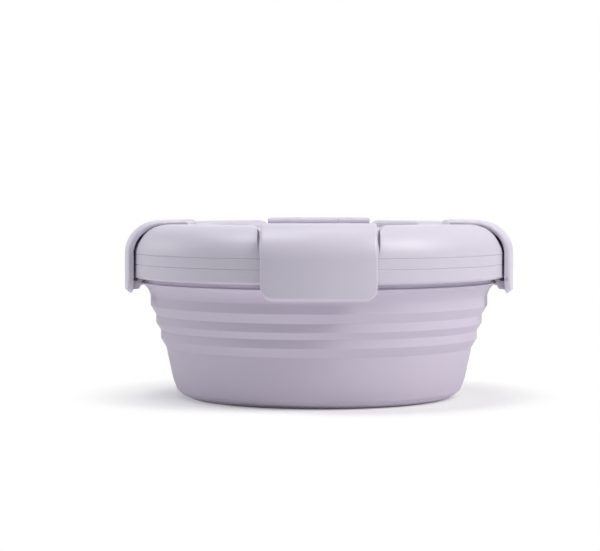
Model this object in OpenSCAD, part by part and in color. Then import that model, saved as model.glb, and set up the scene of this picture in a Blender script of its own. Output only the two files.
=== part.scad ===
// Collapsible food bowl: silicone body with stepped folds, two-piece hard rim, domed lid, four latches.
// The axis of the bowl is Z, the base stands on Z = 0 and the front latch is at -Y.

/* [Bowl base] */
// Outer radius at the top of the cup
cup_r = 74.9; // [65:0.1:85]
// Height of the cup
cup_h = 24.7; // [18:0.1:35]
// How far the cup wall leans in from its top to the corner
cup_lean = 3.5; // [1:0.1:6]
// Height at which the wall starts to round into the base
corner_z = 8; // [6.5:0.1:10]
// How far the corner draws in above the foot
corner_in = 2.1; // [1.5:0.1:3]
// Height of the bevelled foot
foot_h = 3.3; // [2.5:0.1:4]
// Width of the bevelled foot
foot_w = 4; // [3:0.1:5]
// Thickness of the cup wall
cup_wall = 2.2; // [1.6:0.1:3]
// Thickness of the floor
floor_t = 2.6; // [2:0.1:4]
// Radius of the corner inside the cup
inside_round = 9; // [5:0.5:12]

/* [Bowl folds] */
// Thickness of the upright rings
ring_t = 1.8; // [1.4:0.1:1.8]
// Thickness of the sloping webs, measured level
web_t = 1.4; // [1:0.1:1.8]
// Step out from the cup to the lowest ring
step_low = 2.6; // [2.4:0.1:4]
// Step out from the lowest ring to the middle ring
step_mid = 2.3; // [2.2:0.1:4]
// Step out from the middle ring to the top ring
step_top = 2.7; // [2.4:0.1:4]
// Step out from the top ring to the neck in the rim
step_neck = 4.4; // [3.5:0.1:6]
// Height of the web above the cup
web_low_h = 4.4; // [3:0.1:6]
// Height of the lowest ring
ring_low_h = 4.1; // [3:0.1:6]
// Height of the web above the lowest ring
web_mid_h = 3.4; // [3:0.1:6]
// Height of the middle ring
ring_mid_h = 4.1; // [3:0.1:6]
// Height of the web above the middle ring
web_top_h = 4.5; // [3:0.1:6]
// Height of the top ring
ring_top_h = 4.7; // [3:0.1:6]
// Height of the web below the neck
web_neck_h = 6.1; // [4:0.1:8]
// Step out to the knee of the curved web below the neck
knee_out = 1.1; // [0.5:0.1:1.7]
// Height from that knee up to the neck
knee_drop = 1.6; // [1:0.1:3]

/* [Rim] */
// Thickness of the neck wall
neck_t = 1.9; // [1.4:0.1:2.5]
// Height of the neck below its flange
neck_h = 6.6; // [5:0.1:9]
// Thickness of the flange that the two rings clamp
flange_t = 3; // [2.5:0.1:4]
// How far the flange stands out from the neck
flange_out = 2.4; // [1.5:0.1:2.8]
// Radial width of the lower ring
rim_w = 4.4; // [4.2:0.1:6]
// Height of the lower ring below the flange
lower_h = 4.3; // [3.5:0.1:4.6]
// Height of the upper ring
upper_h = 5; // [4:0.1:7]
// Radial thickness of the lip that locks the rings together
lip_t = 0.8; // [0.6:0.1:1]
// Depth of that lip
lip_h = 2; // [1:0.1:2.3]
// Width of the bevel that the hooks slide on
catch_w = 1.4; // [0.8:0.1:2]
// Height of that bevel
catch_h = 2.4; // [2:0.1:3.5]
// Edge bevel beside each seam line
seam_bevel = 0.4; // [0.2:0.1:0.6]

/* [Lid] */
// Height of the dome above its seam, also its shoulder radius
lid_rise = 14.4; // [13.5:0.1:16]
// Thickness of the lid plate
lid_t = 2; // [1.6:0.1:2.5]
// Distance from the hinge axes in to the edge of the recessed middle
panel_in = 7; // [5:0.5:12]
// Depth of the spigot below the seam
spigot_h = 3; // [2:0.1:4.5]
// Wall of the spigot
spigot_t = 2; // [1.4:0.1:2.6]
// Play between the spigot and the rim
spigot_gap = 0.5; // [0.3:0.1:1]
// Width of the seal
seal_w = 3.9; // [2.5:0.1:4.2]
// Height of the seal
seal_h = 2.3; // [1.5:0.1:3]
// Width of the rounded edges beside the latch slots
slot_round = 5; // [2:0.5:7]

/* [Latches] */
// Width of a latch
latch_w = 53; // [40:0.2:56]
// Thickness of a latch
latch_t = 2.9; // [2.4:0.1:3.2]
// Gap between a latch and the rim
latch_gap = 0.7; // [0.5:0.1:2]
// Height of the latch top above the lid seam
latch_rise = 15.6; // [15:0.1:17.5]
// How far the flat top of a latch runs on past the shoulder of the lid
latch_flat = 2; // [0:0.1:3]
// Length of the latch below the lid seam
latch_drop = 19.2; // [18.5:0.1:21]
// Radius of the rounded lower corners
latch_corner = 5.8; // [3:0.1:9]
// Bevel along the lower edge
tail_bevel = 2; // [1:0.1:2.2]
// Rise of the underside from the lower edge to the root of the hook
tail_lift = 1.6; // [0.5:0.1:2]
// Play at each side of a latch in its slot
latch_play = 0.8; // [0.4:0.1:1.5]
// How far the hook reaches under the rim
hook_reach = 2.5; // [1.5:0.1:2.5]
// Distance from the lid seam down to the top of the hook tip
hook_drop = 14.7; // [14.6:0.1:15.5]
// Thickness of the hook tip
hook_t = 2.2; // [1.2:0.1:2.6]
// Rise of the hook face for each millimetre outward
hook_slope = 0.65; // [0.3:0.05:1.5]

/* [Hinges] */
// Distance of the hinge axes in from the edge of the rim
hinge_in = 27.4; // [25:0.1:30]
// Radius of the hinge barrels and lugs
barrel_r = 2; // [1.8:0.1:2.4]
// Radius of the hinge pins
pin_r = 0.9; // [0.6:0.05:1.1]
// Running clearance round the pins
pin_gap = 0.05; // [0.02:0.01:0.1]
// How far each pin stops short of the latch sides
pin_short = 0.3; // [0.1:0.1:1]
// Width of a hinge lug
lug_w = 6; // [4:0.2:8]
// Distance from the middle of a latch to the outside of its lugs
lug_out = 16.5; // [14:0.1:18]
// Clearance round a lug
lug_gap = 0.4; // [0.3:0.05:0.8]
// Clearance under a barrel
barrel_gap = 0.5; // [0.3:0.1:1]

/* [Hidden] */
$fn = 96;
// Clearance between parts that are fixed together
fit = 0.1;
// Overlap of solids that are joined into one piece
joined = 1;
// Steps in a curved stretch of an outline
curve_steps = 10;
// Straight stretch at the top of the cup's corner
corner_top = 1;
SILICONE = "#b7a9c4";
PLASTIC = "#c3b8d0";
STEEL = "#c9c9cc";

// Cup
lean = cup_lean / (cup_h - corner_z);
low_r = cup_r - cup_lean;
foot_r = low_r - corner_in;
cup_in_r = cup_r - cup_wall - lean * (cup_h - floor_t);
floor_r = cup_in_r - inside_round;
wall_z = max(corner_z, floor_t + inside_round) + corner_top;
wall_r = low_r + lean * (wall_z - corner_z);

// Radii of the bowl, from the cup outward
ring_low_r = cup_r + step_low;
ring_mid_r = ring_low_r + step_mid;
ring_top_r = ring_mid_r + step_top;
neck_r = ring_top_r + step_neck;
neck_in_r = neck_r - neck_t;
rim_in_r = neck_r + fit;
rim_r = rim_in_r + rim_w;
flange_r = neck_r + flange_out;
lip_in_r = flange_r + fit;
lip_r = lip_in_r + lip_t;

// Heights, from the base upward
web_low_z = cup_h;
ring_low_z = web_low_z + web_low_h;
web_mid_z = ring_low_z + ring_low_h;
ring_mid_z = web_mid_z + web_mid_h;
web_top_z = ring_mid_z + ring_mid_h;
ring_top_z = web_top_z + web_top_h;
web_neck_z = ring_top_z + ring_top_h;
neck_z = web_neck_z + web_neck_h;
flange_z = neck_z + neck_h;
clamp_z = flange_z + flange_t;
seam_z = clamp_z + upper_h;

// Lid
shoulder_r = rim_r - lid_rise;
hinge_r = rim_r - hinge_in;
panel_r = hinge_r - panel_in;
spigot_r = neck_in_r - spigot_gap;
seal_in_r = spigot_r + fit;
seal_r = seal_in_r + seal_w;
top_z = seam_z + latch_rise;
hinge_z = top_z - barrel_r;
floor_z = hinge_z - barrel_r - barrel_gap;
under_z = floor_z - lid_t;
dome_z = seam_z + lid_rise;

// Latches
latch_in_r = rim_r + latch_gap;
latch_r = latch_in_r + latch_t;
tail_z = seam_z - latch_drop;
root_z = tail_z + tail_lift;
hook_r = rim_r - hook_reach;
hook_z = seam_z - hook_drop;
hook_w = latch_w - 2 * latch_corner;
bend_r = shoulder_r + latch_flat;
slot_w = latch_w + 2 * latch_play;

// Points along a quarter or part of an ellipse about [r, z]
function oval(r, z, a, b, from, to) = [
    for (i = [0 : curve_steps])
        let (t = from + (to - from) * i / curve_steps)
            [r + a * cos(t), z + b * sin(t)]
];

// Points along a curve from p to q that leaves and arrives along the lines to c
function bend(p, c, q) = [
    for (i = [0 : curve_steps])
        let (t = i / curve_steps)
            (1 - t) * (1 - t) * p + 2 * t * (1 - t) * c + t * t * q
];

module lathe(outline) {
    rotate_extrude() polygon(outline);
}

// Silicone bowl
module bowl_floor() {
    color(SILICONE) cylinder(r = floor_r, h = floor_t);
}

module bowl_corner() {
    turn_z = (corner_z + foot_h) / 2;
    turn_r = low_r - lean * (corner_z - turn_z);
    round_z = floor_t + inside_round;
    color(SILICONE) lathe(concat(
        [[floor_r, 0], [foot_r - foot_w, 0]],
        bend([foot_r, foot_h], [turn_r, turn_z], [low_r, corner_z]),
        [[wall_r, wall_z], [wall_r - cup_wall, wall_z]],
        bend([cup_in_r + lean * inside_round, round_z], [cup_in_r, floor_t], [floor_r, floor_t])
    ));
}

module bowl_cup() {
    color(SILICONE) lathe([
        [wall_r - cup_wall, wall_z], [wall_r, wall_z], [cup_r, cup_h], [cup_r - cup_wall, cup_h]
    ]);
}

module ring(r, z, h) {
    color(SILICONE) lathe([[r - ring_t, z], [r, z], [r, z + h], [r - ring_t, z + h]]);
}

module web(low_r, high_r, z, h) {
    color(SILICONE) lathe([[low_r - web_t, z], [low_r, z], [high_r, z + h], [high_r - web_t, z + h]]);
}

// The top web is hollow on the outside, so that the neck stands clear of it
module web_neck() {
    knee = [ring_top_r + knee_out, neck_z - knee_drop];
    level = [web_t, 0];
    low = [ring_top_r, web_neck_z];
    high = [neck_r, neck_z];
    color(SILICONE) lathe(concat(bend(low, knee, high), bend(high - level, knee - level, low - level)));
}

module bowl_flange() {
    color(SILICONE) lathe([
        [neck_in_r, neck_z], [neck_r, neck_z], [neck_r, flange_z], [flange_r, flange_z],
        [flange_r, clamp_z], [neck_in_r, clamp_z]
    ]);
}

// Hard rim
module rim_lower_ring() {
    low_z = flange_z - lower_h;
    color(PLASTIC) lathe([
        [rim_in_r, low_z], [rim_r - catch_w, low_z], [rim_r, low_z + catch_h],
        [rim_r, clamp_z - seam_bevel], [rim_r - seam_bevel, clamp_z], [lip_r, clamp_z],
        [lip_r, clamp_z - lip_h], [lip_in_r, clamp_z - lip_h], [lip_in_r, flange_z], [rim_in_r, flange_z]
    ]);
}

module rim_upper_ring() {
    color(PLASTIC) lathe([
        [neck_in_r, clamp_z], [lip_in_r, clamp_z], [lip_in_r, clamp_z - lip_h],
        [lip_r - fit, clamp_z - lip_h], [lip_r - fit, clamp_z],
        [rim_r - seam_bevel, clamp_z], [rim_r, clamp_z + seam_bevel],
        [rim_r, seam_z - seam_bevel], [rim_r - seam_bevel, seam_z], [neck_in_r, seam_z]
    ]);
}

// Lid: a low plate with a spigot, four raised segments between the latches and two lugs for each latch
module lid_plate() {
    channel_z = seam_z + seal_h + fit;
    channel_r = seal_r + fit;
    spigot_in_r = spigot_r - spigot_t;
    lathe(concat(
        [[channel_r, seam_z], [rim_r - seam_bevel, seam_z], [rim_r, seam_z + seam_bevel]],
        oval(shoulder_r, seam_z + seam_bevel, lid_rise, floor_z - seam_z - seam_bevel, 5, 90),
        [[0, floor_z], [0, under_z]],
        oval(shoulder_r, channel_z, spigot_in_r - shoulder_r, under_z - channel_z, 90, 0),
        [
            [spigot_in_r, seam_z - spigot_h], [spigot_r - seam_bevel, seam_z - spigot_h],
            [spigot_r, seam_z - spigot_h + seam_bevel], [spigot_r, channel_z], [channel_r, channel_z]
        ]
    ));
}

// Space for a latch, with rounded edges where it breaks the top of the dome
module latch_slot() {
    half = slot_w / 2;
    edge = oval(half + slot_round, floor_z, slot_round, dome_z - floor_z, 180, 90);
    right = concat([[half, seam_z]], edge, [[half + slot_round, dome_z + joined]]);
    left = [for (i = [len(right) - 1 : -1 : 0]) [-right[i].x, right[i].y]];
    translate([panel_r / 2, 0, 0])
        rotate([90, 0, 90])
            linear_extrude(height = rim_r) polygon(concat(right, left));
}

module lid_segments() {
    buried = lid_rise - joined;
    difference() {
        lathe(concat(
            [[panel_r, floor_z - joined], [panel_r, dome_z]],
            oval(shoulder_r, seam_z, lid_rise, lid_rise, 90, 2),
            oval(shoulder_r, seam_z, buried, floor_z - seam_z - joined, 2, 90)
        ));
        for (turn = [0 : 90 : 270])
            rotate([0, 0, turn]) latch_slot();
    }
}

module at_lugs() {
    for (side = [-1, 1])
        translate([hinge_r, side * (lug_out - lug_w / 2), hinge_z])
            children();
}

module lid() {
    drop = hinge_z - floor_z + joined;
    color(PLASTIC) difference() {
        union() {
            lid_plate();
            lid_segments();
            for (turn = [0 : 90 : 270])
                rotate([0, 0, turn])
                    at_lugs() {
                        rotate([90, 0, 0]) cylinder(r = barrel_r, h = lug_w, center = true);
                        translate([-barrel_r, -lug_w / 2, -drop]) cube([2 * barrel_r, lug_w, drop]);
                    }
        }
        for (turn = [0 : 90 : 270])
            rotate([0, 0, turn])
                at_lugs()
                    rotate([90, 0, 0]) cylinder(r = pin_r + pin_gap, h = lug_w + joined, center = true);
    }
}

module lid_seal() {
    color(SILICONE) lathe([
        [seal_in_r, seam_z], [seal_r, seam_z], [seal_r, seam_z + seal_h], [seal_in_r, seam_z + seal_h]
    ]);
}

// Outline of a latch seen from outside, with rounded lower corners
module latch_window(w) {
    side = w / 2 - latch_corner;
    rotate([90, 0, 90])
        linear_extrude(height = latch_r + joined)
            union() {
                translate([-w / 2, tail_z + latch_corner]) square([w, latch_drop + latch_rise]);
                translate([-side, tail_z]) square([2 * side, latch_corner + joined]);
                for (x = [-side, side])
                    translate([x, tail_z + latch_corner]) circle(r = latch_corner);
            }
}

module latch_shell() {
    half = latch_w / 2;
    flat_end = sqrt(shoulder_r * shoulder_r - half * half);
    flat_in = sqrt(hinge_r * hinge_r + half * half);
    intersection() {
        lathe(concat(
            [[flat_in, top_z - latch_t], [flat_in, top_z]],
            oval(bend_r, seam_z, latch_r - bend_r, latch_rise, 90, 0),
            [[latch_r, tail_z + tail_bevel], [latch_r - tail_bevel, tail_z], [latch_in_r, root_z]],
            oval(bend_r, seam_z, latch_in_r - bend_r, latch_rise - latch_t, 0, 90)
        ));
        latch_window(latch_w);
    }
    translate([hinge_r, -latch_w / 2, top_z - latch_t])
        cube([flat_end - hinge_r, latch_w, latch_t]);
    translate([hinge_r, 0, hinge_z])
        rotate([90, 0, 0]) cylinder(r = barrel_r, h = latch_w, center = true);
}

module latch_hook() {
    root_r = latch_in_r + latch_t / 2;
    intersection() {
        lathe([
            [root_r, root_z], [latch_in_r, root_z], [hook_r, hook_z - hook_t], [hook_r, hook_z],
            [latch_in_r, hook_z + hook_slope * (latch_in_r - hook_r)],
            [root_r, hook_z + hook_slope * (latch_in_r - hook_r)]
        ]);
        translate([0, -hook_w / 2, tail_z]) cube([latch_r, hook_w, latch_drop]);
    }
}

module latch() {
    color(PLASTIC) difference() {
        union() {
            latch_shell();
            latch_hook();
        }
        translate([hinge_r, 0, hinge_z])
            rotate([90, 0, 0]) cylinder(r = pin_r + pin_gap, h = latch_w + joined, center = true);
        at_lugs()
            translate([-barrel_r - lug_gap, -lug_w / 2 - lug_gap, -barrel_r - joined])
                cube([2 * (barrel_r + lug_gap), lug_w + 2 * lug_gap, 2 * (barrel_r + joined)]);
    }
}

module pin() {
    color(STEEL)
        translate([hinge_r, 0, hinge_z])
            rotate([90, 0, 0]) cylinder(r = pin_r, h = latch_w - 2 * pin_short, center = true);
}

bowl_floor();
bowl_corner();
bowl_cup();
web(cup_r, ring_low_r, web_low_z, web_low_h);  // web_low
ring(ring_low_r, ring_low_z, ring_low_h);  // ring_low
web(ring_low_r, ring_mid_r, web_mid_z, web_mid_h);  // web_mid
ring(ring_mid_r, ring_mid_z, ring_mid_h);  // ring_mid
web(ring_mid_r, ring_top_r, web_top_z, web_top_h);  // web_top
ring(ring_top_r, ring_top_z, ring_top_h);  // ring_top
web_neck();
bowl_flange();
rim_lower_ring();
rim_upper_ring();
lid();
lid_seal();
latch();  // latch_right
rotate([0, 0, 90]) latch();  // latch_back
rotate([0, 0, 180]) latch();  // latch_left
rotate([0, 0, 270]) latch();  // latch_front
pin();  // pin_right
rotate([0, 0, 90]) pin();  // pin_back
rotate([0, 0, 180]) pin();  // pin_left
rotate([0, 0, 270]) pin();  // pin_front
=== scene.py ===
"""Looks of a collapsible food bowl: soft folding wall, hard rim, domed lid with four latches."""
import math

import bmesh
import bpy
from mathutils import Matrix, Vector

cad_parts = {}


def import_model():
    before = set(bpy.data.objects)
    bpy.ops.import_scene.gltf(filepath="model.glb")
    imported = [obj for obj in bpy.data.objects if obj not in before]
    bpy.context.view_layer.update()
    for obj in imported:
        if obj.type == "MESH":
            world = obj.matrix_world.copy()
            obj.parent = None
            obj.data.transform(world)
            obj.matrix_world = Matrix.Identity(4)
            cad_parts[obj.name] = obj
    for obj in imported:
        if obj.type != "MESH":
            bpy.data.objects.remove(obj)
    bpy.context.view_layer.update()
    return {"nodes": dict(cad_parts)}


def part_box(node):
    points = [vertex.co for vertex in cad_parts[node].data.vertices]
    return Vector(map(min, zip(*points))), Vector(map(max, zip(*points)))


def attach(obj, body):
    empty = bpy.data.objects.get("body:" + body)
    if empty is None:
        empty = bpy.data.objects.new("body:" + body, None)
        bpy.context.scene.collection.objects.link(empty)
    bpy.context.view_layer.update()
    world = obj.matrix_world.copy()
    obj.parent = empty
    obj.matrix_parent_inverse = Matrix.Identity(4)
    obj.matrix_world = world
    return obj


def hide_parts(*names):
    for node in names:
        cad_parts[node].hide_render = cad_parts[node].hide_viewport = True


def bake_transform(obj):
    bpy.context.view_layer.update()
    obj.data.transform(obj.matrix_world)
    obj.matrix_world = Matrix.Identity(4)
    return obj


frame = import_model()

MM = 0.001

# Fineness of the meshes
TURNS = 256
ROUND_STEPS = 5
BEND_STEPS = 24
ROW = 0.5 * MM
SHARP = math.radians(35)
ON_AXIS = 1e-6
NECK_BEND_POINTS = 2
PANEL_ROWS = (0.25, 0.5, 0.75, 0.95, 1)
SHOULDER_ROWS = (0.25, 0.5, 0.75, 1)
SLOT_COLUMNS = (0.3, 0.6, 0.85, 1)
DOME_COLUMNS = 18
CORNER_ANGLES = (15, 28, 40, 50)
EDGE_ANGLES = (0, 20, 37, 52, 65, 78, 90)
HOOK_STATIONS = 9

# Bowl: what the model's boxes don't tell
CUP_WALL = 2.2 * MM
RING_WALL = 1.8 * MM
NECK_WALL = 1.9 * MM
FLANGE_T = 3.0 * MM
FOOT_R = 69.4 * MM
FOOT_H = 3.7 * MM
FOOT_TURN_R = 67.3 * MM
FOOT_TURN_Z = 1.95 * MM
BASE_R = 63.0 * MM
CORNER_Z = 12.0 * MM
INSIDE_ROUND = 9.0 * MM
FOLD_CUT = 2.0 * MM
FOLD_EDGE = 0.7 * MM
SILICONE_EDGE = 0.5 * MM
KNEE_OUT = 1.1 * MM
KNEE_DROP = 1.6 * MM
NECK_GROOVE = 1.0 * MM

# Rim and lid
FIT = 0.1 * MM
LIP_W = 0.7 * MM
RIM_TRIM = 0.6 * MM
CATCH_W = 0.7 * MM
CATCH_H = 0.9 * MM
CATCH_LOW_EDGE = 0.8 * MM
CATCH_HIGH_EDGE = 1.0 * MM
SEAM_EDGE = 0.35 * MM
SOFT_EDGE = 0.8 * MM
LID_RISE = 14.4 * MM
LID_T = 2.0 * MM
PANEL_IN = 7.0 * MM
BARREL_GAP = 0.5 * MM
SPIGOT_GAP = 0.5 * MM
SPIGOT_T = 2.0 * MM
SEAL_GROOVE = 0.8 * MM
PANEL_EDGE = 2.5 * MM
SLOT_ROUND = 5.0 * MM
SLOT_EDGE = 0.8 * MM

# Latches and hinges
LATCH_T = 2.6 * MM
LATCH_FLAT = 2.0 * MM
LATCH_PLAY = 0.8 * MM
LATCH_CORNER = 5.8 * MM
LATCH_EDGE = 0.7 * MM
BEND_EDGE = 1.2 * MM
EDGE_RAMP = 5.0 * MM
TAIL_BEVEL = 1.7 * MM
TAIL_IN = 2.2 * MM
TAIL_EDGE = 0.3 * MM
TAIL_LIFT = 1.6 * MM
HOOK_REACH = 2.5 * MM
HOOK_DROP = 13.4 * MM
HOOK_T = 3.5 * MM
HOOK_SLOPE = 0.15
HOOK_EDGE = 0.4 * MM
LUG_W = 6.0 * MM
LUG_OUT = 16.5 * MM
LUG_GAP = 0.4 * MM
LUG_EDGE = 0.1 * MM
LUG_SLIT = 0.1 * MM
PIN_GAP = 0.05 * MM
SIDES = {"right": 0, "back": 90, "left": 180, "front": 270}

# Materials
PATCH_DETAIL = 4
GRAIN_DETAIL = 5
GRAIN_ROUGHNESS = 0.6
BUMP_STRENGTH = 0.35

# Stage, light in watts and camera
FLOOR_HALF = 8.0
FLOOR_PARTS = 4
FLOOR_WHITE = 0.95
FLOOR_GLOW = 0.3
GLOW_NEAR = 0.08
GLOW_FAR = 0.125
AMBIENT = (0.86, 0.88, 1.0, 1.0)
AMBIENT_LEVEL = 0.03
LIT_POINT = (0, 0, 0.05)
LAMPS = {
    "key": {"place": (1.0, -0.5, 1.0), "size": (0.6, 0.8), "power": 16.8, "colour": (1.0, 0.98, 0.97)},
    "top": {"place": (-0.9, -0.3, 2.5), "size": (1.2, 1.2), "power": 33, "colour": (1.0, 1.0, 1.0)},
    "over": {"place": (-0.1, 0.7, 2.4), "size": (1.2, 0.8), "power": 7.5, "colour": (1.0, 1.0, 1.0)},
    "fill": {"place": (-1.27, 0.34, 0.52), "size": (0.8, 0.6), "power": 3.8, "colour": (0.97, 0.98, 1.0)},
}
CAMERA_PLACE = (0, -1.0449, 0.108)
CAMERA_LENS = 127.7
CAMERA_PITCH = 2.678
CAMERA_YAW = 0.508


def round_size(node):
    """Outer radius, lowest and highest level of a node that is round about Z."""
    low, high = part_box(node)
    return max(high.x, high.y), low.z, high.z


floor_t = round_size("bowl_floor")[2]
wall_r, _, wall_z = round_size("bowl_corner")
cup_r, _, cup_z = round_size("bowl_cup")
ring_low_r, ring_low_z, web_mid_z = round_size("ring_low")
ring_mid_r, ring_mid_z, web_top_z = round_size("ring_mid")
ring_top_r, ring_top_z, web_neck_z = round_size("ring_top")
neck_r, _, neck_z = round_size("web_neck")
flange_r, _, clamp_z = round_size("bowl_flange")
rim_r, rim_z, _ = round_size("rim_lower_ring")
_, lip_z, seam_z = round_size("rim_upper_ring")
seal_r, _, seal_z = round_size("lid_seal")
spigot_z = round_size("lid")[1]
latch_low, latch_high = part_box("latch_right")
pin_low, pin_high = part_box("pin_right")

ring_low_mid = (ring_low_z + web_mid_z) / 2
ring_mid_mid = (ring_mid_z + web_top_z) / 2
ring_top_mid = (ring_top_z + web_neck_z) / 2
neck_in_r = neck_r - NECK_WALL
flange_z = clamp_z - FLANGE_T
rim_edge_z = rim_z + RIM_TRIM
spigot_r = neck_in_r - SPIGOT_GAP
lean = (cup_r - wall_r) / (cup_z - wall_z)
hinge_r = (pin_low.x + pin_high.x) / 2
hinge_z = (pin_low.z + pin_high.z) / 2
bore_r = (pin_high.z - pin_low.z) / 2 + PIN_GAP
barrel_r = hinge_r - latch_low.x
latch_r = latch_high.x
latch_in_r = latch_r - LATCH_T
latch_half = latch_high.y
latch_top = latch_high.z
tail_z = latch_low.z
shoulder_r = rim_r - LID_RISE
bend_r = shoulder_r + LATCH_FLAT
dome_z = seam_z + LID_RISE
lid_floor_z = hinge_z - barrel_r - BARREL_GAP
lid_under_z = lid_floor_z - LID_T
panel_r = hinge_r - PANEL_IN
slot_half = latch_half + LATCH_PLAY
lug_middle = LUG_OUT - LUG_W / 2
notch_half = LUG_W / 2 + LUG_GAP


# Outlines

def oval(centre, a, b, start, end, steps):
    """Points along an ellipse with half axes a and b, from one angle in degrees to another."""
    points = []
    for k in range(steps + 1):
        angle = math.radians(start + (end - start) * k / steps)
        points.append((centre[0] + a * math.cos(angle), centre[1] + b * math.sin(angle)))
    return points


def bend(start, control, end, steps=BEND_STEPS):
    """Points along a curve that leaves and arrives along the lines to its control point."""
    points = []
    for k in range(steps + 1):
        t = k / steps
        p = (1 - t) ** 2 * Vector(start) + 2 * t * (1 - t) * Vector(control) + t ** 2 * Vector(end)
        points.append((p.x, p.y))
    return points


def plain(points):
    """Corners without rounding from a list of points."""
    return [(x, z, 0) for x, z in points]


def rounded(corners):
    """Closed outline through (x, z, radius) corners, each turned into an arc of its radius."""
    outline = []
    for i, (x, z, radius) in enumerate(corners):
        corner = Vector((x, z))
        if radius == 0:
            outline.append(corner)
            continue
        back = Vector(corners[i - 1][:2]) - corner
        ahead = Vector(corners[(i + 1) % len(corners)][:2]) - corner
        half = back.angle(ahead) / 2
        reach = min(radius / math.tan(half), back.length / 2, ahead.length / 2)
        first = corner + back.normalized() * reach
        last = corner + ahead.normalized() * reach
        middle = (back.normalized() + ahead.normalized()).normalized()
        centre = corner + middle * reach / math.cos(half)
        size = (first - centre).length
        for k in range(ROUND_STEPS + 1):
            spoke = (first - centre).lerp(last - centre, k / ROUND_STEPS)
            outline.append(centre + spoke.normalized() * size)
    return outline


def dense(outline):
    """The same outline with extra points, so that no stretch is longer than a row."""
    points = []
    for i, here in enumerate(outline):
        there = outline[(i + 1) % len(outline)]
        parts = max(1, math.ceil((there - here).length / ROW))
        points.extend(here.lerp(there, k / parts) for k in range(parts))
    return points


def inset(outline, depth):
    """A closed outline, listed clockwise, drawn in by depth."""
    drawn = []
    for i, here in enumerate(outline):
        along = (here - outline[i - 1]).normalized()
        onward = (outline[(i + 1) % len(outline)] - here).normalized()
        normal = Vector((along.y, -along.x)) + Vector((onward.y, -onward.x))
        drawn.append(here + normal * (2 * depth / normal.length_squared))
    return drawn


# Solids

def solid(name, bm):
    """Object from a finished mesh."""
    bmesh.ops.remove_doubles(bm, verts=bm.verts, dist=ON_AXIS)
    bmesh.ops.recalc_face_normals(bm, faces=bm.faces)
    mesh = bpy.data.meshes.new(name)
    bm.to_mesh(mesh)
    bm.free()
    obj = bpy.data.objects.new(name, mesh)
    bpy.context.collection.objects.link(obj)
    return obj


def skin(bm, loops, closed=False):
    """Faces between neighbouring loops of points, each loop closed on itself."""
    rows = [[bm.verts.new(p) for p in loop] for loop in loops]
    pairs = list(zip(rows, rows[1:]))
    if closed:
        pairs.append((rows[-1], rows[0]))
    for a, b in pairs:
        for j in range(len(a)):
            k = (j + 1) % len(a)
            bm.faces.new((a[j], a[k], b[k], b[j]))
    return rows


def lathe(name, outline):
    """Closed solid of revolution about Z from an outline of (radius, height) points."""
    circle = [(math.cos(a), math.sin(a)) for a in (math.tau * j / TURNS for j in range(TURNS))]
    bm = bmesh.new()
    rings = []
    for radius, z in outline:
        if radius < ON_AXIS:
            rings.append([bm.verts.new((0, 0, z))] * TURNS)
        else:
            rings.append([bm.verts.new((radius * c, radius * s, z)) for c, s in circle])
    for low, high in zip(rings, rings[1:] + rings[:1]):
        for j in range(TURNS):
            k = (j + 1) % TURNS
            corners = list(dict.fromkeys((low[j], low[k], high[k], high[j])))
            if len(corners) > 2:
                bm.faces.new(corners)
    return solid(name, bm)


def sweep(name, sections):
    """Closed solid through a row of sections with as many points each."""
    bm = bmesh.new()
    rows = skin(bm, sections)
    bm.faces.new(rows[0])
    bm.faces.new(rows[-1])
    return solid(name, bm)


def combine(obj, tool, operation):
    """Joins a tool solid to obj or cuts it away, and removes the tool."""
    step = obj.modifiers.new("step", "BOOLEAN")
    step.operation = operation
    step.solver = "EXACT"
    step.object = tool
    shaped = obj.evaluated_get(bpy.context.evaluated_depsgraph_get())
    mesh = bpy.data.meshes.new_from_object(shaped)
    obj.modifiers.clear()
    obj.data = mesh
    bpy.data.objects.remove(tool)


def dress(obj, material, *nodes):
    """Smooth shading with crisp edges and the material with its slot; hides the CAD nodes that obj stands
    for.
    """
    obj.data.shade_smooth()
    obj.data.set_sharp_from_angle(angle=SHARP)
    even = obj.modifiers.new("even_shading", "WEIGHTED_NORMAL")
    even.keep_sharp = True
    obj.data.materials.clear()
    obj.data.materials.append(material)
    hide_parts(*nodes)


# Materials

def srgb(red, green, blue):
    """Linear colour from display values of 0 to 255."""
    def linear(value):
        share = value / 255
        return share / 12.92 if share <= 0.04045 else ((share + 0.055) / 1.055) ** 2.4
    return (linear(red), linear(green), linear(blue), 1.0)


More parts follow.
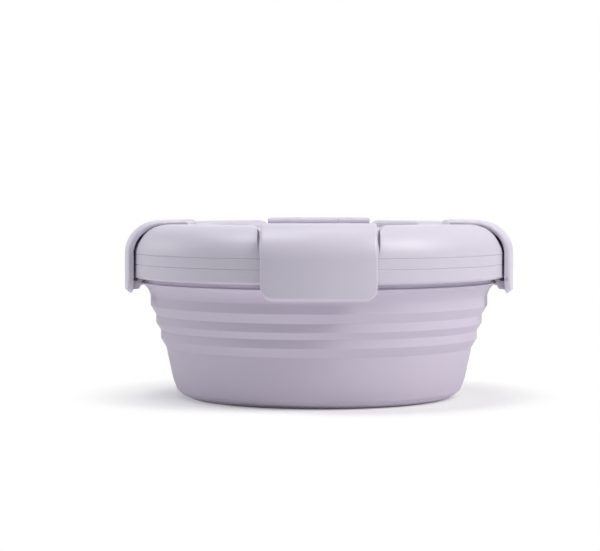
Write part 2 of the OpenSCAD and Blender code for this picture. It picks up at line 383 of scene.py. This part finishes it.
def surface(name, slot, light, dark, patch, rough, grain, depth):
    """Matt material: colour and roughness vary in soft patches, and a fine grain gives the bump."""
    material = bpy.data.materials.new(name)
    material["slot"] = slot
    material.use_nodes = True
    nodes, links = material.node_tree.nodes, material.node_tree.links
    shader = nodes["Principled BSDF"]
    place = nodes.new("ShaderNodeTexCoord").outputs["Object"]

    blotch = nodes.new("ShaderNodeTexNoise")
    blotch.inputs["Scale"].default_value = patch
    blotch.inputs["Detail"].default_value = PATCH_DETAIL
    links.new(place, blotch.inputs["Vector"])
    tint = nodes.new("ShaderNodeMix")
    tint.data_type = "RGBA"
    tint.inputs["A"].default_value = dark
    tint.inputs["B"].default_value = light
    links.new(blotch.outputs["Fac"], tint.inputs["Factor"])
    links.new(tint.outputs["Result"], shader.inputs["Base Color"])
    gloss = nodes.new("ShaderNodeMapRange")
    gloss.inputs["To Min"].default_value = rough[0]
    gloss.inputs["To Max"].default_value = rough[1]
    links.new(blotch.outputs["Fac"], gloss.inputs["Value"])
    links.new(gloss.outputs["Result"], shader.inputs["Roughness"])

    fine = nodes.new("ShaderNodeTexNoise")
    fine.inputs["Scale"].default_value = grain
    fine.inputs["Detail"].default_value = GRAIN_DETAIL
    fine.inputs["Roughness"].default_value = GRAIN_ROUGHNESS
    links.new(place, fine.inputs["Vector"])
    bump = nodes.new("ShaderNodeBump")
    bump.inputs["Strength"].default_value = BUMP_STRENGTH
    bump.inputs["Distance"].default_value = depth
    links.new(fine.outputs["Fac"], bump.inputs["Height"])
    links.new(bump.outputs["Normal"], shader.inputs["Normal"])
    return material


silicone = surface("lilac_silicone", "silicone",
                   light=srgb(203, 195, 213), dark=srgb(198, 190, 208), patch=45,
                   rough=(0.58, 0.70), grain=2600, depth=0.02 * MM)
silicone_shader = silicone.node_tree.nodes["Principled BSDF"]
silicone_shader.inputs["Sheen Weight"].default_value = 0.06
silicone_shader.inputs["Sheen Roughness"].default_value = 0.4
plastic = surface("lilac_plastic", "plastic",
                  light=srgb(204, 199, 214), dark=srgb(199, 194, 209), patch=30,
                  rough=(0.38, 0.46), grain=1900, depth=0.015 * MM)
steel = surface("pin_steel", "pin_steel",
                light=srgb(198, 198, 202), dark=srgb(176, 176, 182), patch=900,
                rough=(0.22, 0.42), grain=5200, depth=0.004 * MM)
steel.node_tree.nodes["Principled BSDF"].inputs["Metallic"].default_value = 1.0


# Silicone bowl

def bowl_base():
    """Cup with its bevelled foot, up to just below the lowest fold."""
    low_r = wall_r - lean * (wall_z - CORNER_Z)
    turn_z = (CORNER_Z + FOOT_H) / 2
    turn_r = low_r - lean * (CORNER_Z - turn_z)
    in_r = cup_r - CUP_WALL - lean * (cup_z - floor_t)
    top_r = cup_r - lean * FOLD_CUT
    top_z = cup_z - FOLD_CUT
    outside = bend((FOOT_R, FOOT_H), (turn_r, turn_z), (low_r, CORNER_Z))
    inside = bend((in_r + lean * INSIDE_ROUND, floor_t + INSIDE_ROUND), (in_r, floor_t),
                  (in_r - INSIDE_ROUND, floor_t))
    corners = [(0, 0, 0), (BASE_R, 0, SILICONE_EDGE), (FOOT_TURN_R, FOOT_TURN_Z, 2 * SILICONE_EDGE),
               (FOOT_R, FOOT_H, SILICONE_EDGE)]
    corners += plain(outside[1:]) + [(top_r, top_z, 0), (top_r - CUP_WALL, top_z, 0)]
    corners += plain(inside) + [(0, floor_t, 0)]
    obj = lathe("bowl_base", rounded(corners))
    dress(obj, silicone, "bowl_floor", "bowl_corner", "bowl_cup")
    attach(obj, "base")


def fold(name, low, high, nodes):
    """Web between two walls: low and high give radius, level, thickness and the cut's radius and level."""
    low_r, low_z, low_wall, low_cut_r, low_cut_z = low
    high_r, high_z, high_wall, high_cut_r, high_cut_z = high
    corners = [
        (low_cut_r, low_cut_z, 0), (low_r, low_z, FOLD_EDGE), (high_r, high_z, FOLD_EDGE),
        (high_cut_r, high_cut_z, 0), (high_cut_r - high_wall, high_cut_z, 0),
        (high_r - high_wall, high_z, FOLD_EDGE), (low_r - low_wall, low_z, FOLD_EDGE),
        (low_cut_r - low_wall, low_cut_z, 0),
    ]
    obj = lathe(name, dense(rounded(corners)))
    dress(obj, silicone, *nodes)
    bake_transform(obj)


def neck():
    """Web above the top ring, neck in the rim and the flange that the rim rings clamp."""
    ring_in_r = ring_top_r - RING_WALL
    knee_r = ring_top_r + KNEE_OUT
    knee_z = neck_z - KNEE_DROP
    groove_r = neck_r - NECK_GROOVE
    outside = bend((ring_top_r, web_neck_z), (knee_r, knee_z), (neck_r, neck_z))[:-NECK_BEND_POINTS]
    outside += bend(outside[-1], (neck_r, neck_z), (neck_r, neck_z + SILICONE_EDGE), ROUND_STEPS)[1:]
    inside = bend((neck_in_r, neck_z), (knee_r - RING_WALL, knee_z), (ring_in_r, web_neck_z))
    corners = [(ring_top_r, ring_top_mid, 0)] + plain(outside)
    corners += [(groove_r, neck_z + 2 * SILICONE_EDGE, FIT), (groove_r, rim_edge_z, FIT)]
    corners += [(neck_r, rim_edge_z, FIT), (neck_r, flange_z, FIT)]
    corners += [(flange_r, flange_z, SILICONE_EDGE), (flange_r, clamp_z, SILICONE_EDGE)]
    corners += [(neck_in_r, clamp_z, FOLD_EDGE)] + plain(inside) + [(ring_in_r, ring_top_mid, 0)]
    obj = lathe("bowl_neck", dense(rounded(corners)))
    dress(obj, silicone, "web_neck", "bowl_flange")
    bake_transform(obj)


def lid_seal():
    """Seal with two lips below, in the channel of the lid."""
    in_r = spigot_r + FIT
    third = (seal_r - in_r) / 3
    corners = [
        (in_r, seam_z, SILICONE_EDGE), (in_r + third, seam_z, SILICONE_EDGE),
        (in_r + 1.5 * third, seam_z + SEAL_GROOVE, SILICONE_EDGE), (in_r + 2 * third, seam_z, SILICONE_EDGE),
        (seal_r, seam_z, SILICONE_EDGE), (seal_r, seal_z, SILICONE_EDGE), (in_r, seal_z, SILICONE_EDGE),
    ]
    obj = lathe("lid_seal_ring", rounded(corners))
    dress(obj, silicone, "lid_seal")
    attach(obj, "lid")


def bowl():
    """All silicone pieces, cut at the middle of each upright ring."""
    bowl_base()
    fold("bowl_fold_low", (cup_r, cup_z, CUP_WALL, cup_r - lean * FOLD_CUT, cup_z - FOLD_CUT),
         (ring_low_r, ring_low_z, RING_WALL, ring_low_r, ring_low_mid),
         ("web_low", "ring_low"))
    fold("bowl_fold_mid", (ring_low_r, web_mid_z, RING_WALL, ring_low_r, ring_low_mid),
         (ring_mid_r, ring_mid_z, RING_WALL, ring_mid_r, ring_mid_mid),
         ("web_mid", "ring_mid"))
    fold("bowl_fold_top", (ring_mid_r, web_top_z, RING_WALL, ring_mid_r, ring_mid_mid),
         (ring_top_r, ring_top_z, RING_WALL, ring_top_r, ring_top_mid),
         ("web_top", "ring_top"))
    neck()
    lid_seal()


# Hard rim

def rim():
    """Lower and upper ring, with softened edges that leave a fine groove at each seam."""
    in_r = neck_r + FIT
    lip_in_r = flange_r + FIT
    lip_r = lip_in_r + LIP_W + FIT
    lower = lathe("rim_lower", rounded([
        (in_r, rim_edge_z, SEAM_EDGE), (rim_r - CATCH_W, rim_edge_z, CATCH_LOW_EDGE),
        (rim_r, rim_edge_z + CATCH_H, CATCH_HIGH_EDGE), (rim_r, clamp_z, SEAM_EDGE),
        (lip_r, clamp_z, FIT), (lip_r, lip_z, FIT), (lip_in_r, lip_z, FIT),
        (lip_in_r, flange_z, FIT), (in_r, flange_z, FIT),
    ]))
    upper = lathe("rim_upper", rounded([
        (neck_in_r, clamp_z, SEAM_EDGE), (lip_in_r, clamp_z, 0), (lip_in_r, lip_z, FIT),
        (lip_in_r + LIP_W, lip_z, FIT), (lip_in_r + LIP_W, clamp_z, FIT), (rim_r, clamp_z, SEAM_EDGE),
        (rim_r, seam_z, SEAM_EDGE), (neck_in_r, seam_z, SOFT_EDGE),
    ]))
    for obj, node in ((lower, "rim_lower_ring"), (upper, "rim_upper_ring")):
        dress(obj, plastic, node)
        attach(obj, "rim")


# Lid

def lid_top_rows():
    """Rows from the lid's middle out to its seam: radius, slot level, dome level and share of the rise."""
    rows = [(panel_r * share, lid_floor_z, lid_floor_z, 0) for share in PANEL_ROWS]
    for k in range(1, ROUND_STEPS + 2):
        angle = math.pi / 2 * k / (ROUND_STEPS + 1)
        rows.append((panel_r + PANEL_EDGE * (1 - math.cos(angle)), lid_floor_z, dome_z, math.sin(angle)))
    start = panel_r + PANEL_EDGE
    for share in SHOULDER_ROWS:
        rows.append((start + (shoulder_r - start) * share, lid_floor_z, dome_z, 1))
    lowest = math.asin(SEAM_EDGE / LID_RISE)
    for k in range(1, BEND_STEPS + 1):
        angle = math.pi / 2 + (lowest - math.pi / 2) * k / BEND_STEPS
        rise = math.sin(angle)
        rows.append((shoulder_r + LID_RISE * math.cos(angle), seam_z + (lid_floor_z - seam_z) * rise,
                     seam_z + LID_RISE * rise, 1))
    return rows


def lid_columns():
    """Columns round the lid: turn of a slot, offset from its middle, share of the way to the next slot."""
    inner = [slot_half * share for share in SLOT_COLUMNS]
    small = oval((SLOT_EDGE, 0), SLOT_EDGE, SLOT_EDGE, 180, 90, ROUND_STEPS)[1:]
    large = [SLOT_EDGE + (SLOT_ROUND - SLOT_EDGE) * k / ROUND_STEPS for k in range(1, ROUND_STEPS + 1)]
    edge = [slot_half + out for out in [x for x, _ in small] + large]
    columns = []
    for turn in SIDES.values():
        columns.append((turn, 0, 0))
        columns += [(turn, offset, 0) for offset in inner + edge]
        columns += [(turn, edge[-1], k / DOME_COLUMNS) for k in range(1, DOME_COLUMNS)]
        columns += [(turn + 90, -offset, 0) for offset in reversed(inner + edge)]
    return columns


def beside_slot(offset, slot_level, dome_level):
    """Level of the lid at an offset from the middle of a slot, whose edges are rounded."""
    out = abs(offset) - slot_half
    if out <= 0:
        return slot_level
    broad = math.sqrt(1 - max(1 - out / SLOT_ROUND, 0) ** 2)
    fine = math.sqrt(1 - max(1 - out / SLOT_EDGE, 0) ** 2)
    limit = min(dome_level, lid_floor_z + (dome_z - lid_floor_z) * broad)
    return slot_level + (limit - slot_level) * fine


def lid_angle(column, radius):
    """Where a column crosses a radius: slot edges stay parallel to the slot's middle line."""
    turn, offset, onward = column
    side = math.asin(offset / max(radius, panel_r))
    return math.radians(turn) + side + (math.pi / 2 - 2 * side) * onward


def lid_top(columns):
    """Loops over the slots and the dome, from the middle out to the seam."""
    loops = []
    for radius, slot_level, dome_level, share in lid_top_rows():
        loop = []
        for column in columns:
            angle = lid_angle(column, radius)
            level = slot_level + (beside_slot(column[1], slot_level, dome_level) - slot_level) * share
            loop.append((radius * math.cos(angle), radius * math.sin(angle), level))
        loops.append(loop)
    return loops


def lid_under():
    """Outline from the seam in to the middle: seal channel, spigot and hollow."""
    channel_r = seal_r + FIT
    channel_z = seal_z + FIT
    spigot_in_r = spigot_r - SPIGOT_T
    under = oval((rim_r - SEAM_EDGE, seam_z + SEAM_EDGE), SEAM_EDGE, SEAM_EDGE, 0, -90, ROUND_STEPS)[1:]
    under += [(channel_r, seam_z), (channel_r, channel_z), (spigot_r, channel_z)]
    under += [(spigot_r, spigot_z + SEAM_EDGE), (spigot_r - SEAM_EDGE, spigot_z)]
    under += [(spigot_in_r + SEAM_EDGE, spigot_z), (spigot_in_r, spigot_z + SEAM_EDGE)]
    under += oval((shoulder_r, channel_z), spigot_in_r - shoulder_r, lid_under_z - channel_z,
                  0, 90, BEND_STEPS)
    under += [(panel_r, lid_under_z), (panel_r / 2, lid_under_z)]
    return under


def lid_shell():
    """Dome with four slots on top, and below it the seal channel, the spigot and the hollow."""
    columns = lid_columns()
    turns = [lid_angle(column, rim_r) for column in columns]
    loops = lid_top(columns)
    for radius, z in lid_under():
        loops.append([(radius * math.cos(a), radius * math.sin(a), z) for a in turns])
    bm = bmesh.new()
    rows = skin(bm, loops)
    for row, z in ((rows[0], lid_floor_z), (rows[-1], lid_under_z)):
        middle = bm.verts.new((0, 0, z))
        for j, vert in enumerate(row):
            bm.faces.new((vert, row[(j + 1) % len(row)], middle))
    obj = solid("lid_shell", bm)
    dress(obj, plastic, "lid")
    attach(obj, "lid")


def lug_loops(offset, drop):
    """Loops along one hinge lug: outside with softened ends, then back through the bore."""
    half = notch_half - LUG_SLIT
    outside = []
    for k in range(4 * BEND_STEPS):
        angle = math.tau * k / (4 * BEND_STEPS)
        c, s = math.cos(angle), math.sin(angle)
        reach = barrel_r if s >= 0 else min(barrel_r / max(abs(c), ON_AXIS), drop / -s)
        outside.append((c, s, reach))
    stations = [(-half, LUG_EDGE), (LUG_EDGE - half, 0), (half - LUG_EDGE, 0), (half, LUG_EDGE)]
    loops = []
    for along, drawn in stations:
        loops.append([(hinge_r + (reach - drawn) * c, offset + along, hinge_z + (reach - drawn) * s)
                      for c, s, reach in outside])
    for along in (half, -half):
        loops.append([(hinge_r + bore_r * c, offset + along, hinge_z + bore_r * s) for c, s, _ in outside])
    return loops


def lid_lugs():
    """Two hinge lugs for each latch, bored for the pin."""
    drop = hinge_z - lid_floor_z + LUG_EDGE
    bm = bmesh.new()
    for degrees in SIDES.values():
        turn = Matrix.Rotation(math.radians(degrees), 3, "Z")
        for side in (-1, 1):
            loops = lug_loops(side * lug_middle, drop)
            skin(bm, [[turn @ Vector(p) for p in loop] for loop in loops], closed=True)
    obj = solid("lid_lugs", bm)
    dress(obj, plastic)
    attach(obj, "lid")


# Latches

def across(r, z, w):
    """Point of a latch that faces +X: the hinge end is straight, the rest is round about the bowl's axis."""
    straight = r < hinge_r + 2 * barrel_r
    return (r if straight else math.sqrt(r * r - w * w), w, z)


def latch_outline(lift):
    """Section of a latch without its hook: barrel, plate, bend and tail, whose end is raised by lift."""
    rise = latch_top - seam_z
    joint = math.degrees(math.asin((barrel_r - LATCH_T) / barrel_r))
    low = tail_z + lift
    corners = plain(oval((hinge_r, hinge_z), barrel_r, barrel_r, 360 + joint, 90, BEND_STEPS))
    corners += plain(oval((bend_r, seam_z), latch_r - bend_r, rise, 90, 0, BEND_STEPS))
    corners += [(latch_r, low + TAIL_BEVEL, TAIL_EDGE), (latch_r - TAIL_IN, low, TAIL_EDGE),
                (latch_in_r, low + TAIL_LIFT, HOOK_EDGE / 2)]
    corners += plain(oval((bend_r, seam_z), latch_in_r - bend_r, rise - LATCH_T, 0, 90, BEND_STEPS))
    return rounded(corners)


def side_depth(edge, w):
    """How far a side that is rounded by edge is drawn in at an offset from the latch's middle."""
    into_edge = max(abs(w) - latch_half + edge, 0)
    return edge - math.sqrt(max(edge ** 2 - into_edge ** 2, 0))


def bend_share(point):
    """0 on the tail and the barrel of a latch, 1 on the bend and the plate between them."""
    past_barrel = (point.x - hinge_r - barrel_r) / EDGE_RAMP
    above_seam = (point.y - seam_z) / EDGE_RAMP
    return min(max(past_barrel, 0), 1) * min(max(above_seam, 0), 1)


def latch_plate():
    """Latch without its hook, with rounded lower corners and softened sides, softer on the bend."""
    straight = latch_half - LATCH_CORNER
    half = [0, straight / 2, straight]
    half += [straight + LATCH_CORNER * math.sin(math.radians(a)) for a in CORNER_ANGLES]
    half += [latch_half - BEND_EDGE + BEND_EDGE * math.sin(math.radians(a)) for a in EDGE_ANGLES]
    sections = []
    for w in [-w for w in reversed(half[1:])] + half:
        into_corner = min(max(abs(w) - straight, 0), LATCH_CORNER)
        lift = LATCH_CORNER - math.sqrt(LATCH_CORNER ** 2 - into_corner ** 2)
        outline = latch_outline(lift)
        sharp = inset(outline, side_depth(LATCH_EDGE, w))
        soft = inset(outline, side_depth(BEND_EDGE, w))
        mixed = [a.lerp(b, bend_share(point)) for a, b, point in zip(sharp, soft, outline)]
        sections.append([across(r, z, w) for r, z in mixed])
    return sweep("latch_form", sections)


def latch_hook():
    """Hook along the lower edge, which reaches under the rim."""
    hook_r = rim_r - HOOK_REACH
    hook_z = seam_z - HOOK_DROP
    root_r = latch_in_r + LATCH_T / 2
    face_z = hook_z + HOOK_SLOPE * (latch_in_r - hook_r)
    root_z = tail_z + TAIL_LIFT + HOOK_EDGE
    outline = rounded([
        (root_r, face_z, 0), (root_r, root_z, 0), (latch_in_r, root_z, HOOK_EDGE),
        (hook_r, hook_z - HOOK_T, SOFT_EDGE), (hook_r, hook_z, HOOK_EDGE), (latch_in_r, face_z, HOOK_EDGE),
    ])
    half = latch_half - LATCH_CORNER
    stations = [half * (2 * k / (HOOK_STATIONS - 1) - 1) for k in range(HOOK_STATIONS)]
    return sweep("hook", [[across(r, z, w) for r, z in outline] for w in stations])


def block(name, low, high):
    """Box between two corners, to cut with."""
    bm = bmesh.new()
    bmesh.ops.create_cube(bm, size=1)
    size = Vector(high) - Vector(low)
    bm.transform(Matrix.Translation((Vector(low) + Vector(high)) / 2) @ Matrix.Diagonal((*size, 1)))
    return solid(name, bm)


def bore(name):
    """Round bar along the hinge and past the latch's sides, to cut the pin's bore with."""
    bm = bmesh.new()
    bmesh.ops.create_cone(bm, cap_ends=True, segments=2 * BEND_STEPS, radius1=bore_r, radius2=bore_r,
                          depth=3 * latch_half)
    bm.transform(Matrix.Translation((hinge_r, 0, hinge_z)) @ Matrix.Rotation(math.pi / 2, 4, "X"))
    return solid(name, bm)


def latches():
    """Four latches: plate and hook joined, cut for the two lugs and the pin."""
    arm = latch_plate()
    combine(arm, latch_hook(), "UNION")
    reach = barrel_r + LUG_GAP
    for side in (-1, 1):
        middle = side * lug_middle
        low = (hinge_r - 2 * reach, middle - notch_half, hinge_z - 2 * reach)
        high = (hinge_r + reach, middle + notch_half, hinge_z + 2 * reach)
        combine(arm, block("notch", low, high), "DIFFERENCE")
    combine(arm, bore("bore"), "DIFFERENCE")
    for side, degrees in SIDES.items():
        mesh = arm.data.copy()
        mesh.transform(Matrix.Rotation(math.radians(degrees), 4, "Z"))
        obj = bpy.data.objects.new("latch_%s_arm" % side, mesh)
        bpy.context.collection.objects.link(obj)
        dress(obj, plastic, "latch_" + side)
        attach(obj, "latch_" + side)
    bpy.data.objects.remove(arm)


# Stage, light and camera

def seen_directly(nodes, links):
    """1 for rays from the camera and for reflections, 0 for light that falls on the object."""
    path = nodes.new("ShaderNodeLightPath")
    seen = path.outputs["Is Camera Ray"]
    for ray in ("Is Glossy Ray", "Is Transmission Ray"):
        either = nodes.new("ShaderNodeMath")
        either.operation = "MAXIMUM"
        links.new(seen, either.inputs[0])
        links.new(path.outputs[ray], either.inputs[1])
        seen = either.outputs["Value"]
    return seen


def floor_material():
    """White under the lamps. Seen directly it also glows, a little at the bowl and fully off its shadow."""
    material = bpy.data.materials.new("white_floor")
    material.use_nodes = True
    nodes, links = material.node_tree.nodes, material.node_tree.links
    shader = nodes["Principled BSDF"]
    shader.inputs["Base Color"].default_value = (FLOOR_WHITE, FLOOR_WHITE, FLOOR_WHITE, 1)
    shader.inputs["Roughness"].default_value = 0.7
    shader.inputs["Specular IOR Level"].default_value = 0.1
    glow = nodes.new("ShaderNodeEmission")
    distance = nodes.new("ShaderNodeVectorMath")
    distance.operation = "LENGTH"
    links.new(nodes.new("ShaderNodeTexCoord").outputs["Object"], distance.inputs[0])
    fade = nodes.new("ShaderNodeMapRange")
    fade.interpolation_type = "SMOOTHSTEP"
    fade.inputs["From Min"].default_value = GLOW_NEAR
    fade.inputs["From Max"].default_value = GLOW_FAR
    fade.inputs["To Min"].default_value = FLOOR_GLOW
    links.new(distance.outputs["Value"], fade.inputs["Value"])
    share = nodes.new("ShaderNodeMath")
    share.operation = "MULTIPLY"
    links.new(seen_directly(nodes, links), share.inputs[0])
    links.new(fade.outputs["Result"], share.inputs[1])
    mix = nodes.new("ShaderNodeMixShader")
    links.new(share.outputs["Value"], mix.inputs["Fac"])
    links.new(shader.outputs["BSDF"], mix.inputs[1])
    links.new(glow.outputs["Emission"], mix.inputs[2])
    links.new(mix.outputs["Shader"], nodes["Material Output"].inputs["Surface"])
    return material


def floor():
    """Plain floor that keeps the shadow of the bowl."""
    bm = bmesh.new()
    bmesh.ops.create_grid(bm, x_segments=FLOOR_PARTS, y_segments=FLOOR_PARTS, size=FLOOR_HALF)
    obj = solid("floor", bm)
    obj.data.materials.append(floor_material())


def world():
    """White where the camera looks past the floor, dim and bluish as light."""
    sky = bpy.data.worlds.new("studio")
    bpy.context.scene.world = sky
    sky.use_nodes = True
    nodes, links = sky.node_tree.nodes, sky.node_tree.links
    dim = nodes["Background"]
    dim.inputs["Color"].default_value = AMBIENT
    dim.inputs["Strength"].default_value = AMBIENT_LEVEL
    white = nodes.new("ShaderNodeBackground")
    white.inputs["Color"].default_value = (1, 1, 1, 1)
    mix = nodes.new("ShaderNodeMixShader")
    links.new(seen_directly(nodes, links), mix.inputs["Fac"])
    links.new(dim.outputs["Background"], mix.inputs[1])
    links.new(white.outputs["Background"], mix.inputs[2])
    links.new(mix.outputs["Shader"], nodes["World Output"].inputs["Surface"])


def softbox(name, place, size, power, colour):
    """Rectangular lamp at a place, turned to the bowl."""
    lamp = bpy.data.lights.new(name, "AREA")
    lamp.shape = "RECTANGLE"
    lamp.size, lamp.size_y = size
    lamp.energy = power
    lamp.color = colour
    obj = bpy.data.objects.new(name, lamp)
    obj.location = place
    obj.rotation_euler = (Vector(LIT_POINT) - Vector(place)).to_track_quat("-Z", "Y").to_euler()
    bpy.context.collection.objects.link(obj)


def camera():
    """Camera at the photograph's place, in front and a little higher than the lid."""
    lens = bpy.data.cameras.new("camera")
    lens.lens = CAMERA_LENS
    obj = bpy.data.objects.new("camera", lens)
    obj.location = CAMERA_PLACE
    obj.rotation_euler = (math.radians(90 - CAMERA_PITCH), 0, math.radians(CAMERA_YAW))
    bpy.context.collection.objects.link(obj)
    bpy.context.scene.camera = obj


bowl()
rim()
lid_shell()
lid_lugs()
latches()
for side in SIDES:
    frame["nodes"]["pin_" + side].material_slots[0].material = steel

floor()
world()
for name, lamp in LAMPS.items():
    softbox(name, **lamp)
camera()
bpy.context.scene.view_settings.view_transform = "Standard"

bpy.context.view_layer.update()
